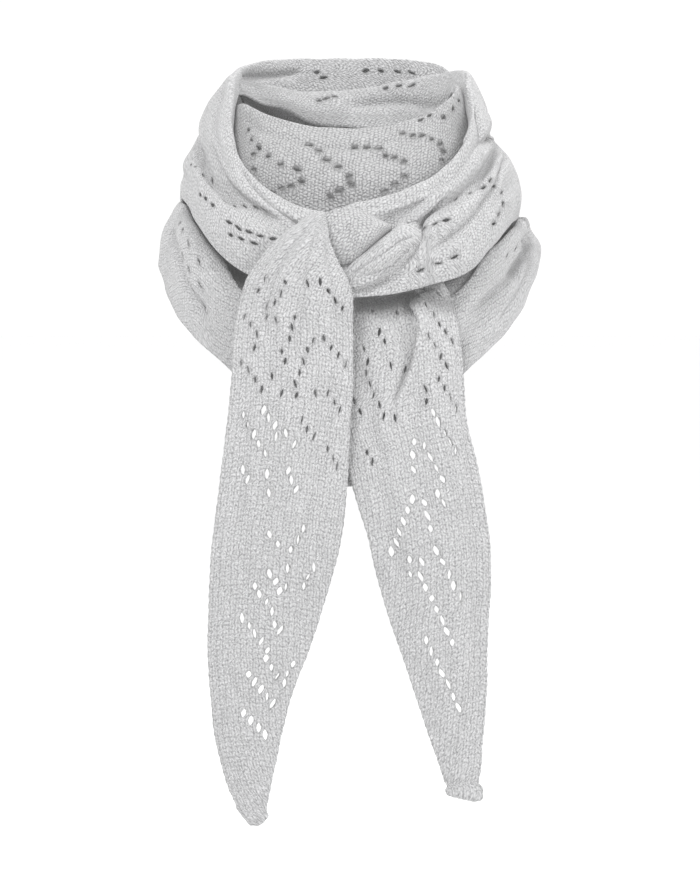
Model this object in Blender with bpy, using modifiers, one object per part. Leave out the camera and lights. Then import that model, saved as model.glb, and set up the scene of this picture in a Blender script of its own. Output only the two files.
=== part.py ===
"""A knitted triangle shawl, worn: the centre lies over the throat and chest with its point down,
both arms pass behind the neck, cross there, come forward over the shoulders and are knotted in
front, and their ends hang as two tails. Metres, +Z up, +Y to the back, the neck's axis at the origin.
"""

import math
from collections import namedtuple

import bmesh
import bpy
import numpy as np

MM = 0.001
NECK_HALF_WIDTH = 76 * MM
NECK_HALF_DEPTH = 58 * MM
WALL = 2.0 * MM
SEAM = 0.3 * MM
WALE = 4.4 * MM
COURSE = 3.55 * MM
EYELET_WIDTH = 3.4 * MM
EYELET_LENGTH = 5.4 * MM
YARN_GREY = (0.74, 0.74, 0.75, 1.0)
YARN_ROUGHNESS = 0.9

# A ring stretch is a row of sections at angles round the neck: 0 at the front, positive to the
# right as seen from the front, 180 at the nape. Each section is a line from the neck edge to the
# hem through named points, each so far out from the neck opening and so far up, in millimetres.

Centre = namedtuple(
    "Centre",
    "angle rim_out rim_up throat_out throat_up tuck_out tuck_up valley_out"
    " ridge_out ridge_up flank_out flank_up hem_out hem_up",
)
CENTRE_SECTIONS = (
    Centre(-150, 26, -22, 30, -30, 33, -40, 35, 38, -62, 40, -78, 40, -92),
    Centre(-130, 21, 0, 27, -14, 32, -28, 37, 42, -60, 46, -82, 46, -104),
    Centre(-110, 8, 30, 20, 10, 28, -14, 38, 49, -52, 57, -74, 56, -96),
    Centre(-90, 3, 41, 15, 18, 26, -8, 40, 54, -44, 66, -62, 66, -84),
    Centre(-75, 5, 36, 16, 12, 28, -14, 42, 55, -42, 69, -66, 67, -94),
    Centre(-60, 7, 32, 21, 2, 34, -28, 46, 63, -48, 75, -82, 71, -114),
    Centre(-45, 9, 27, 30, -6, 42, -42, 56, 79, -74, 84, -106, 79, -134),
    Centre(-30, 10, 19, 35, -14, 46, -56, 60, 84, -114, 85, -140, 83, -161),
    Centre(-15, 11, 17, 37, -17, 49, -60, 58, 66, -124, 68, -165, 68, -206),
    Centre(0, 12, 15, 38, -19, 49, -62, 56, 60, -130, 64, -186, 65, -240),
    Centre(15, 12, 17, 38, -17, 49, -60, 58, 65, -124, 68, -165, 68, -206),
    Centre(30, 11, 19, 36, -12, 46, -54, 58, 80, -112, 84, -138, 84, -160),
    Centre(45, 10, 27, 31, -5, 42, -44, 54, 71, -76, 80, -108, 77, -134),
    Centre(60, 8, 32, 22, 2, 34, -34, 44, 61, -60, 70, -89, 67, -116),
    Centre(75, 5, 36, 17, 10, 30, -24, 42, 57, -56, 66, -74, 64, -95),
    Centre(90, 4, 41, 15, 16, 28, -18, 42, 59, -55, 66, -68, 64, -85),
    Centre(110, 9, 28, 24, -6, 36, -34, 46, 58, -62, 64, -80, 62, -98),
    Centre(117, 43, -40, 49, -54, 54, -66, 57, 61, -80, 63, -94, 61, -105),
    Centre(124.2, 50, -56, 55, -62, 58, -68, 60, 61, -84, 62, -97, 60, -108),
)

Arm = namedtuple(
    "Arm",
    "angle edge_out edge_up crest_out crest_up shoulder_out shoulder_up groove_out groove_up"
    " belly_out belly_up skirt_out skirt_up hem_out hem_up",
)
LEFT_ARM_SECTIONS = (
    Arm(-235, 50, -56, 55, -62, 58, -68, 60, -76, 61, -84, 62, -97, 60, -108),
    Arm(-227, 49, -22, 53, -16, 56, -26, 60, -42, 63, -58, 65, -84, 61, -110),
    Arm(-217, 43, 22, 46, 34, 50, 20, 56, -2, 62, -30, 66, -72, 61, -112),
    Arm(-205, 40, 40, 43, 64, 48, 46, 52, 20, 59, -18, 65, -66, 61, -113),
    Arm(-180, 40, 44, 45, 69, 50, 50, 52, 24, 58, -12, 63, -62, 60, -112),
    Arm(-155, 37, 44, 41, 68, 46, 50, 48, 24, 55, -10, 61, -56, 59, -104),
    Arm(-130, 24, 46, 26, 63, 37, 46, 41, 22, 50, -6, 58, -42, 57, -82),
    Arm(-108, 10, 44, 13, 55, 29, 34, 34, 12, 45, -5, 54, -30, 58, -58),
    Arm(-90, 9, 41, 12, 50, 26, 27, 29, 6, 42, -8, 51, -22, 52, -35),
    Arm(-72, 14, 27, 17, 36, 31, 20, 33, 3, 44, -7, 54, -19, 55, -32),
    Arm(-58, 25, 11, 28, 20, 41, 8, 42, -6, 54, -15, 63, -28, 63, -41),
    Arm(-44, 40, -7, 42, 0, 54, -8, 55, -23, 66, -33, 75, -47, 76, -62),
    Arm(-32, 50, -24, 55, -17, 65, -26, 66, -40, 77, -51, 83, -66, 84, -80),
    Arm(-22, 56, -36, 61, -29, 70, -37, 71, -50, 81, -61, 87, -77, 86, -92),
    Arm(-13, 60, -43, 65, -36, 73, -44, 74, -55, 80, -65, 84, -78, 83, -92),
    Arm(-4, 64, -51, 68, -45, 74, -51, 75, -59, 78, -67, 80, -76, 79, -88),
)
RIGHT_ARM_SECTIONS = (
    Arm(2, 64, -52, 68, -46, 73, -52, 75, -61, 81, -70, 85, -84, 85, -98),
    Arm(10, 62, -42, 68, -35, 76, -43, 76, -54, 82, -63, 86, -79, 86, -95),
    Arm(20, 58, -32, 65, -24, 75, -31, 74, -45, 83, -52, 89, -70, 88, -88),
    Arm(30, 50, -20, 57, -12, 68, -18, 69, -31, 79, -39, 85, -59, 84, -78),
    Arm(40, 42, -6, 47, 2, 59, -6, 57, -20, 69, -27, 77, -47, 76, -64),
    Arm(60, 25, 17, 24, 26, 37, 13, 38, -4, 51, -12, 61, -31, 62, -47),
    Arm(75, 13, 31, 16, 39, 30, 22, 31, 2, 45, -10, 56, -28, 58, -43),
    Arm(90, 9, 43, 13, 50, 27, 27, 28, 5, 44, -9, 53, -26, 56, -42),
    Arm(107, 4, 42, 17, 56, 29, 34, 30, 8, 42, -9, 53, -30, 57, -46),
    Arm(124, 3, 35, 22, 62, 32, 40, 35, 12, 41, -8, 46, -28, 47, -43),
    Arm(140, 6, 31, 23, 60, 34, 43, 34, 12, 37, -8, 40, -28, 42, -45),
    Arm(156, 4, 28, 20, 50, 32, 39, 33, 10, 34, -8, 38, -26, 41, -45),
    Arm(180, 2, 20, 19, 43, 30, 32, 32, 8, 33, -8, 34, -26, 35, -43),
    Arm(203, -1, 17, 17, 43, 25, 34, 29, 18, 30, 4, 32, -10, 33, -24),
    Arm(222, -3, 29, 8, 55, 15, 45, 18, 33, 20, 20, 22, 8, 24, -4),
    Arm(240, 1, 36, 5, 54, 10, 48, 12, 40, 13, 34, 13, 28, 13, 22),
    Arm(251, 1, 42, 4, 54, 7, 52, 7, 50, 7, 48, 7, 46, 7, 44),
    Arm(259, 2, 47, 4, 53, 6, 51, 6, 50, 6, 49, 6, 47, 6, 46),
)

# A fold raises (or, below zero, sinks) the cloth along a line from one angle to another. Its place
# across is counted in section points from the neck edge, and its width and depth are real sizes.

Fold = namedtuple("Fold", "start end across_start across_end width depth")
CENTRE_FOLDS = (
    Fold(-95, -30, 6.3, 5.8, 0.45, -5),
    Fold(24, 105, 5.9, 5.6, 0.40, -9),
    Fold(30, 80, 6.5, 6.3, 0.35, 4),
    Fold(-48, 10, 1.5, 2.0, 0.35, 3),
    Fold(-20, 55, 2.4, 1.7, 0.35, 3),
    Fold(-70, -10, 7.0, 7.3, 0.45, 3),
)
LEFT_ARM_FOLDS = (
    Fold(-100, -30, 2.0, 2.0, 0.30, -2),
    Fold(-66, -18, 3.7, 4.2, 0.40, 3),
    Fold(-100, -40, 4.6, 5.2, 0.35, -4),
    Fold(-200, -100, 4.3, 3.5, 0.45, -8),
    Fold(-205, -118, 5.2, 4.9, 0.40, -7),
    Fold(-190, -130, 2.3, 2.8, 0.30, 4),
)
RIGHT_ARM_FOLDS = (
    Fold(4, 80, 4.9, 4.5, 0.30, -3),
    Fold(12, 60, 5.6, 5.4, 0.30, 3),
    Fold(20, 100, 1.6, 1.5, 0.30, -2),
    Fold(100, 165, 4.4, 3.7, 0.40, -4),
)

# A hanging stretch is a row of sections from its tip to its top: how far up each lies, where its
# left and right edges are, how far to the back each edge lies, and how far its middle stands
# forward of them, in millimetres.

Hang = namedtuple("Hang", "up left right left_back right_back crown")
LEFT_TAIL_SECTIONS = (
    Hang(-484, -69, -64, -134, -134, 1),
    Hang(-478, -74, -60, -134, -134, 2),
    Hang(-462, -83, -58, -135, -135, 4),
    Hang(-440, -91, -54, -136, -136, 5),
    Hang(-412, -97, -48, -137, -137, 6),
    Hang(-386, -99, -41, -138, -138, 6),
    Hang(-354, -101, -29, -138, -138, 7),
    Hang(-320, -100, -18, -138, -138, 7),
    Hang(-284, -98, -8, -139, -139, 7),
    Hang(-236, -92, -2, -139, -140, 7),
    Hang(-196, -87, 0, -139, -142, 7),
    Hang(-158, -83, 2, -140, -145, 8),
    Hang(-128, -81, 2, -141, -149, 9),
    Hang(-106, -77, 2, -143, -155, 9),
    Hang(-91, -72, -2, -146, -157, 9),
    Hang(-76, -62, -10, -150, -157, 8),
    Hang(-64, -51, -14, -152, -157, 6),
    Hang(-54, -38, -16, -149.6, -152, 4),
    Hang(-46, -26, -17, -143, -149.8, 2),
)
RIGHT_TAIL_SECTIONS = (
    Hang(-468, 69, 93, -128, -128, 1),
    Hang(-460, 69, 95, -128, -128, 2),
    Hang(-444, 66, 95, -129, -129, 3),
    Hang(-420, 57, 95, -130, -130, 4),
    Hang(-392, 48, 97, -131, -131, 5),
    Hang(-348, 33, 98, -132, -131, 6),
    Hang(-303, 19, 100, -132, -131, 6),
    Hang(-276, 13, 99, -133, -131, 6),
    Hang(-250, 5, 95, -133, -131, 6),
    Hang(-222, -2, 90, -133, -131, 6),
    Hang(-196, -4, 84, -133, -131, 6),
    Hang(-166, -5, 81, -133, -130, 6),
    Hang(-143, -5, 79, -133, -130, 6),
    Hang(-113, -4, 73, -134, -128, 6),
    Hang(-99, 0, 68, -135, -126, 6),
    Hang(-86, 4, 60, -135, -124.5, 6),
    Hang(-78, 10, 52, -134, -124.5, 4),
)

# A pleat stands forward along a line down a hanging stretch. Its place across is a share of the
# width from the left edge, at its top and at its bottom, and its width is a share too.

Pleat = namedtuple("Pleat", "top bottom across_top across_bottom width depth")
LEFT_TAIL_PLEATS = (
    Pleat(-46, -180, 0.30, 0.20, 0.10, 3),
    Pleat(-46, -230, 0.62, 0.48, 0.10, 3),
    Pleat(-60, -150, 0.85, 0.80, 0.07, 2),
    Pleat(-150, -420, 0.80, 0.55, 0.12, 2),
)
RIGHT_TAIL_PLEATS = (
    Pleat(-88, -240, 0.70, 0.66, 0.06, 5),
    Pleat(-88, -260, 0.84, 0.82, 0.13, 4),
    Pleat(-88, -210, 0.25, 0.30, 0.12, 2),
    Pleat(-180, -400, 0.40, 0.30, 0.12, 2),
)

# The knot: sections from left to right, each with the height of its upper and lower edges, how
# far to the back each edge lies and how far its middle stands forward.

Turn = namedtuple("Turn", "along top bottom top_back bottom_back crown")
KNOT_TURN_SECTIONS = (
    Turn(-20, -48, -66, -147.8, -149, 1),
    Turn(-10, -43, -81, -143, -149, 5),
    Turn(2, -43, -79, -138, -148, 10),
    Turn(14, -47, -69, -138, -147, 11),
    Turn(24, -52, -60.5, -139, -144, 6),
    Turn(29, -54, -57.5, -139, -141, 1),
)
KNOT_BAND_SECTIONS = (
    Turn(-5, -87, -99, -149, -147, 1),
    Turn(5, -78, -97, -150, -145.4, 4),
    Turn(16, -68.6, -91, -149, -146, 9),
    Turn(28, -59, -84, -146, -145, 12),
    Turn(37, -56, -78, -141, -144, 11),
    Turn(46, -59, -70, -140, -144, 5),
    Turn(52, -63, -67, -139.4, -140.4, 1),
)

# Lace: eyelets in runs, each one wale across and two courses along from the last. On a hanging
# stretch a run starts so far across and up, in millimetres, and steps by so much.

HangRun = namedtuple("HangRun", "across up step_across step_up count")
LEFT_TAIL_RUNS = (
    HangRun(-76, -187, 3.9, -6.9, 5),
    HangRun(-61, -183, 4.2, -5.6, 3),
    HangRun(-52, -202, 6.0, 0, 2),
    HangRun(-76, -226, 3.6, -6.4, 2),
    HangRun(-58, -229, 1.0, -13.0, 2),
    HangRun(-57, -272, 6.0, -5.6, 2),
    HangRun(-33, -268, -4.2, -7.0, 3),
    HangRun(-68, -309, 4.2, -5.6, 3),
    HangRun(-60, -329, 4.4, -5.2, 3),
    HangRun(-57, -299, 3.8, -5.6, 3),
    HangRun(-26, -295, -3.4, -6.8, 3),
    HangRun(-76, -331, 4.3, -5.7, 5),
    HangRun(-60, -360, 4.4, -6.2, 4),
    HangRun(-72, -371, 4.4, -5.6, 4),
    HangRun(-75, -399, 5.0, -5.7, 4),
    HangRun(-28, -93, 4.8, -7.0, 4),
    HangRun(-44, -94, -3.8, -7.0, 3),
    HangRun(-59, -109, 1.0, -9.0, 2),
    HangRun(-37, -118, -4.2, -7.4, 2),
    HangRun(-17, -133, 4.6, -6.6, 4),
    HangRun(-29, -140, -3.2, -8.0, 4),
    HangRun(-70, -157, 4.6, -6.4, 3),
    HangRun(-15, -172, 4.2, -6.8, 3),
    HangRun(-16, -212, 4.0, -6.2, 3),
)
RIGHT_TAIL_RUNS = (
    HangRun(20, -129, 4.2, -7.0, 2),
    HangRun(10, -141, 2.8, -8.6, 2),
    HangRun(11, -158, 3.2, -7.6, 5),
    HangRun(3, -178, 3.6, -8.0, 2),
    HangRun(55, -111, 4.4, -6.6, 5),
    HangRun(54, -132, 4.6, -6.8, 3),
    HangRun(62, -162, 4.4, -6.8, 3),
    HangRun(54, -169, 0, -9.4, 2),
    HangRun(59, -187, 4.2, -6.8, 5),
    HangRun(45, -207, 0, -9.4, 2),
    HangRun(53, -209, 4.0, -8.2, 4),
    HangRun(12, -214, 3.0, -7.2, 2),
    HangRun(62, -243, 4.4, -7.2, 2),
    HangRun(44, -250, -3.0, -8.2, 5),
    HangRun(53, -252, 2.0, -9.2, 3),
    HangRun(61, -286, 4.2, -8.2, 5),
    HangRun(42, -292, 8.6, 0, 2),
    HangRun(50, -303, 4.3, -8.0, 7),
    HangRun(54, -350, 4.2, -8.0, 7),
)

# On a ring stretch a run starts at an angle, so far across as a share of the way to the hem.

RingRun = namedtuple("RingRun", "angle across step_angle step_across count")
CENTRE_RUNS = (
    RingRun(-45, 0.20, 5.6, 0.0, 3),
    RingRun(-28, 0.26, 5.6, 0.0, 2),
    RingRun(-13, 0.20, 5.6, 0.0, 2),
    RingRun(-4, 0.26, 5.6, 0.0, 2),
    RingRun(12, 0.20, 5.6, 0.0, 3),
    RingRun(20, 0.31, 5.6, 0.0, 3),
    RingRun(-30, 0.36, 5.6, 0.0, 3),
    RingRun(-80, 0.78, 5.6, 0.0, 2),
    RingRun(-64, 0.78, 5.6, 0.0, 3),
    RingRun(56, 0.78, 5.6, 0.0, 4),
)
LEFT_ARM_RUNS = (
    RingRun(-62, 0.34, 5.8, 0.0, 4),
    RingRun(-60, 0.58, 5.8, 0.0, 4),
    RingRun(-130, 0.42, 5.8, 0.0, 3),
    RingRun(-176, 0.30, 5.8, 0.0, 3),
    RingRun(-200, 0.58, 5.8, 0.0, 3),
)
RIGHT_ARM_RUNS = (
    RingRun(24, 0.34, 5.8, 0.0, 4),
    RingRun(40, 0.58, 5.8, 0.0, 4),
    RingRun(64, 0.42, 5.8, 0.0, 3),
    RingRun(110, 0.58, 5.8, 0.0, 3),
    RingRun(150, 0.16, 5.8, 0.0, 4),
)


def eased(stations, values, at):
    """A curve through the values at the stations, read at each place, that never overshoots."""
    stations = np.asarray(stations, float)
    values = np.asarray(values, float)
    slopes = np.gradient(values, stations)
    rises = np.diff(values) / np.diff(stations)
    steepest = 3 * np.minimum(np.abs(rises[:-1]), np.abs(rises[1:])) * (rises[:-1] * rises[1:] > 0)
    slopes[1:-1] = np.clip(slopes[1:-1], -steepest, steepest)
    k = np.clip(np.searchsorted(stations, at) - 1, 0, len(stations) - 2)
    gap = stations[k + 1] - stations[k]
    f = (at - stations[k]) / gap
    return (
        values[k] * (1 + 2 * f) * (1 - f) ** 2
        + slopes[k] * gap * f * (1 - f) ** 2
        + values[k + 1] * f**2 * (3 - 2 * f)
        + slopes[k + 1] * gap * f**2 * (f - 1)
    )


def eased_across(points, at):
    """The same through a section's points, which differ from place to place along the cloth."""
    slopes = np.gradient(points, axis=0)
    k = np.clip(at.astype(int), 0, len(points) - 2)
    here = np.arange(len(at))
    f = at - k
    return (
        points[k, here] * (1 + 2 * f) * (1 - f) ** 2
        + slopes[k, here] * f * (1 - f) ** 2
        + points[k + 1, here] * f**2 * (3 - 2 * f)
        + slopes[k + 1, here] * f**2 * (f - 1)
    )


def bump(distance):
    return np.exp(-0.5 * distance**2)


def window(at, start, end):
    """0 outside start to end, rising smoothly to 1 between them."""
    share = np.clip((at - start) / (end - start), 0, 1)
    return np.sin(math.pi * share) ** 0.7


def around_neck(angle, out, up):
    turn = np.radians(angle)
    return np.stack(
        [
            (NECK_HALF_WIDTH + out * MM) * np.sin(turn),
            -(NECK_HALF_DEPTH + out * MM) * np.cos(turn),
            up * MM,
        ],
        axis=1,
    )


def ring_stretch(sections, outs, ups, folds):
    """A function from (share along, share across) to places on a ring stretch."""
    angles = [row.angle for row in sections]

    def place(along, across):
        angle = angles[0] + (angles[-1] - angles[0]) * along
        out = np.stack([eased(angles, [f(row) for row in sections], angle) for f in outs])
        up = np.stack([eased(angles, [f(row) for row in sections], angle) for f in ups])
        at = across * (len(outs) - 1)
        out_here, up_here = eased_across(out, at), eased_across(up, at)
        for fold in folds:
            share = np.clip((angle - fold.start) / (fold.end - fold.start), 0, 1)
            centre = fold.across_start + (fold.across_end - fold.across_start) * share
            rise = bump((at - centre) / fold.width) * window(angle, fold.start, fold.end)
            out_here = out_here + fold.depth * rise
        return around_neck(angle, out_here, up_here)

    return place


def hanging_stretch(sections, pleats):
    ups = [row.up for row in sections]

    def place(along, across):
        up = ups[0] + (ups[-1] - ups[0]) * along
        left, right, left_back, right_back, crown = (
            eased(ups, [getattr(row, name) for row in sections], up) for name in Hang._fields[1:]
        )
        forward = crown * (1 - (2 * across - 1) ** 2)
        for pleat in pleats:
            share = np.clip((pleat.top - up) / (pleat.top - pleat.bottom), 0, 1)
            centre = pleat.across_top + (pleat.across_bottom - pleat.across_top) * share
            fade = np.cos(0.5 * math.pi * share) * np.clip((pleat.top - up) / 12 + 0.4, 0, 1)
            forward = forward + pleat.depth * fade * bump((across - centre) / pleat.width)
        x = left + (right - left) * across
        y = left_back + (right_back - left_back) * across - forward
        return np.stack([x, y, up], axis=1) * MM

    return place


def knot_stretch(sections):
    xs = [row.along for row in sections]

    def place(along, across):
        x = xs[0] + (xs[-1] - xs[0]) * along
        top, bottom, top_back, bottom_back, crown = (
            eased(xs, [getattr(row, name) for row in sections], x) for name in Turn._fields[1:]
        )
        forward = crown * (1 - np.abs(2 * across - 1) ** 2.5)
        y = top_back + (bottom_back - top_back) * across - forward
        return np.stack([x, y, top + (bottom - top) * across], axis=1) * MM

    return place


def column(name):
    return lambda row: getattr(row, name)


def between(first, second, share=0.5):
    return lambda row: getattr(row, first) * (1 - share) + getattr(row, second) * share


def offset(name, by):
    return lambda row: getattr(row, name) + by


def hang_spots(sections, runs):
    """Each eyelet of a hanging stretch as (share along, share across)."""
    ups = [row.up for row in sections]
    lefts = [row.left for row in sections]
    rights = [row.right for row in sections]
    spots = []
    for run in runs:
        for step in range(run.count):
            up = run.up + run.step_up * step
            left, right = np.interp(up, ups, lefts), np.interp(up, ups, rights)
            across = (run.across + run.step_across * step - left) / (right - left)
            spots.append(((up - ups[0]) / (ups[-1] - ups[0]), across))
    return spots


def ring_spots(sections, runs):
    first, last = sections[0].angle, sections[-1].angle
    return [
        (
            (run.angle + run.step_angle * step - first) / (last - first),
            run.across + run.step_across * step,
        )
        for run in runs
        for step in range(run.count)
    ]


def cut_eyelets(bm, place, cells, spots):
    """Opens an eyelet at each spot of the flat grid, held inside the one cell it falls in."""
    faces = {}
    for face in bm.faces:
        centre = face.calc_center_median()
        faces[tuple(int((c + 0.5) * n) for c, n in zip(centre, cells))] = face
    chosen = {}
    for spot in spots:
        cell = tuple(int(s * n) for s, n in zip(spot, cells))
        if all(1 <= c < n - 1 for c, n in zip(cell, cells)):
            chosen.setdefault(faces[cell], spot)
    if not chosen:
        return
    bmesh.ops.inset_individual(bm, faces=list(chosen), thickness=0.0001)
    for face, spot in chosen.items():
        shares = np.array([spot, (spot[0] + 0.001, spot[1]), (spot[0], spot[1] + 0.001)])
        here, ahead, beside = place(shares[:, 0], shares[:, 1])
        reach = [
            0.0005 * EYELET_LENGTH / np.linalg.norm(ahead - here),
            0.0005 * EYELET_WIDTH / np.linalg.norm(beside - here),
        ]
        middle = []
        for s, n, r in zip(spot, cells, reach):
            cell_middle = (int(s * n) + 0.5) / n
            slack = max(0.42 / n - r, 0)
            middle.append(min(max(s, cell_middle - slack), cell_middle + slack) - 0.5)
        reach = [min(r, 0.42 / n) for r, n in zip(reach, cells)]
        old = face.calc_center_median()
        for corner in face.verts:
            to_end = math.copysign(1, corner.co.x - old.x)
            to_side = math.copysign(1, corner.co.y - old.y)
            corner.co.x = middle[0] + to_end * reach[0] * (1 if to_side > 0 else 0.6)
            corner.co.y = middle[1] + to_side * reach[1]
    bmesh.ops.delete(bm, geom=list(chosen), context="FACES")


def cloth(name, place, cells, material, spots=()):
    """One stretch of cloth as an object: a flat grid with its eyelets, moved to its place."""
    bm = bmesh.new()
    bmesh.ops.create_grid(bm, x_segments=cells[0], y_segments=cells[1], size=0.5)
    cut_eyelets(bm, place, cells, spots)
    flat = np.array([vertex.co for vertex in bm.verts])
    places = place(flat[:, 0] + 0.5, flat[:, 1] + 0.5)
    for vertex, spot in zip(bm.verts, places):
        vertex.co = spot
    mesh = bpy.data.meshes.new(name)
    bm.to_mesh(mesh)
    bm.free()
    mesh.shade_smooth()
    mesh.materials.append(material)
    shell = bpy.data.objects.new(name, mesh)
    bpy.data.collections["triangle_shawl"].objects.link(shell)
    wall = shell.modifiers.new("wall", "SOLIDIFY")
    wall.thickness = WALL
    wall.offset = 0
    return shell


def yarn_material():
    material = bpy.data.materials.new("grey_knit")
    material.use_nodes = True
    shader = material.node_tree.nodes["Principled BSDF"]
    shader.inputs["Base Color"].default_value = YARN_GREY
    shader.inputs["Roughness"].default_value = YARN_ROUGHNESS
    return material


def clear_scene():
    for obj in list(bpy.data.objects):
        bpy.data.objects.remove(obj)
    shawl = bpy.data.collections.new("triangle_shawl")
    bpy.context.scene.collection.children.link(shawl)


def build():
    clear_scene()
    yarn = yarn_material()
    centre = ring_stretch(
        CENTRE_SECTIONS,
        [
            offset("rim_out", -3),
            column("rim_out"),
            column("throat_out"),
            column("tuck_out"),
            column("valley_out"),
            column("ridge_out"),
            column("flank_out"),
            column("hem_out"),
        ],
        [
            offset("rim_up", -10),
            column("rim_up"),
            column("throat_up"),
            column("tuck_up"),
            between("tuck_up", "ridge_up"),
            column("ridge_up"),
            column("flank_up"),
            column("hem_up"),
        ],
        CENTRE_FOLDS,
    )
    names = ("edge", "crest", "shoulder", "groove", "belly", "skirt", "hem")
    outs = [column(f"{name}_out") for name in names]
    ups = [column(f"{name}_up") for name in names]
    left_arm = ring_stretch(LEFT_ARM_SECTIONS, outs, ups, LEFT_ARM_FOLDS)
    right_arm = ring_stretch(RIGHT_ARM_SECTIONS, outs, ups, RIGHT_ARM_FOLDS)
    left_tail = hanging_stretch(LEFT_TAIL_SECTIONS, LEFT_TAIL_PLEATS)
    right_tail = hanging_stretch(RIGHT_TAIL_SECTIONS, RIGHT_TAIL_PLEATS)
    cloth("centre", centre, (48, 16), yarn, ring_spots(CENTRE_SECTIONS, CENTRE_RUNS))
    cloth("left_arm", left_arm, (44, 12), yarn, ring_spots(LEFT_ARM_SECTIONS, LEFT_ARM_RUNS))
    cloth("right_arm", right_arm, (46, 12), yarn, ring_spots(RIGHT_ARM_SECTIONS, RIGHT_ARM_RUNS))
    cloth("knot_turn", knot_stretch(KNOT_TURN_SECTIONS), (9, 7), yarn)
    cloth("knot_band", knot_stretch(KNOT_BAND_SECTIONS), (10, 6), yarn)
    cloth("left_tail", left_tail, (60, 9), yarn, hang_spots(LEFT_TAIL_SECTIONS, LEFT_TAIL_RUNS))
    cloth("right_tail", right_tail, (54, 9), yarn, hang_spots(RIGHT_TAIL_SECTIONS, RIGHT_TAIL_RUNS))


build()
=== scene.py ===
"""The looks of a light grey knitted triangle shawl with lace eyelets, worn and knotted in front.

Each stretch of cloth is a fine grid laid over the same sections as its solid, with its eyelets
opened between the stitches. Its UV map counts metres across the wales and along the courses, and
the knit material draws the stitches from it. Sections are in millimetres, the rest in metres.
"""

import math
import random
from collections import namedtuple

import bmesh
import bpy
import numpy as np
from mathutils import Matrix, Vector


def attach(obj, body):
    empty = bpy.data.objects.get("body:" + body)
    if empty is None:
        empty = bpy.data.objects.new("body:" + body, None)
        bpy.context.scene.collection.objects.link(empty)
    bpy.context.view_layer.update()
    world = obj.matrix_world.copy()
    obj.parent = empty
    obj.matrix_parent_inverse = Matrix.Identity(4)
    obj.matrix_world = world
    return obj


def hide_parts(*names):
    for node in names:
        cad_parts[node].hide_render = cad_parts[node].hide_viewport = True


MM = 0.001
NECK_HALF_WIDTH = 76 * MM
NECK_HALF_DEPTH = 58 * MM
WALL = 1.8 * MM
WALE = 4.3 * MM
COURSE = 3.55 * MM
STITCH_RELIEF = 0.9 * MM
STITCH_STRAY = (3 * MM, 4 * MM, 0)
EDGE_BUMP = 0.22 * MM
# The stitch height blends these: painted shade in the gaps between the loops, and the yarn's own grey.
PAINTED_GAP_SHADE = (0.165, 0.165, 0.168, 1)
LIGHT_WOOL = (0.445, 0.445, 0.45, 1)

# Small waves in every stretch: their height in millimetres and their turns in radians a metre.
WAVE_HEIGHT = 0.5
LONG_WAVE = (95, 60, 140)
CROSS_WAVE = (130, -90, 55)

# Eyelets come in three sizes, as shares of these. On the tails they are wide where nothing lies
# behind: below one height, and from a bit higher up in the outer parts. Pull and painted shade are
# shares for the stitches next to an eyelet and for the two rings round those.
EYELET_HALF_LENGTH = 2.9 * MM
EYELET_HALF_WIDTH = 1.15 * MM
RING_EYELET = 1.15
NARROW_EYELET = 0.9
WIDE_EYELET = 1.6
CLEAR_BELOW = -232
OUTER_CLEAR_BELOW = -178
OUTER_FROM = 36
EYELET_PULL = (1, 0.55, 0.2)
EYELET_PAINTED_SHADE = (1, 0.15, 0)

LOOK_AT = Vector((0, 0, -0.219))
CAMERA_DISTANCE = 2.4
CAMERA_ELEVATION = 5
VIEW_HEIGHT = 0.663
SENSOR_WIDTH = 36
FLOOR_HEIGHT = -0.95
FLOOR_HALF_SIDE = 15

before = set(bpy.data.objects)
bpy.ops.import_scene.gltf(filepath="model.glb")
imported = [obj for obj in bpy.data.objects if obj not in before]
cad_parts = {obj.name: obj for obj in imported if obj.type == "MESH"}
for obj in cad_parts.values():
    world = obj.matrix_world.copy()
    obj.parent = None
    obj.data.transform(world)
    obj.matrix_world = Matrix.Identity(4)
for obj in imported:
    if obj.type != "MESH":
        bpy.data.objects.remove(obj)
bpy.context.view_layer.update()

# Sections of the stretches round the neck: an angle, 0 in front and positive to the right, then
# points from the neck edge to the hem, each so far out from the neck opening and so far up.

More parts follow.
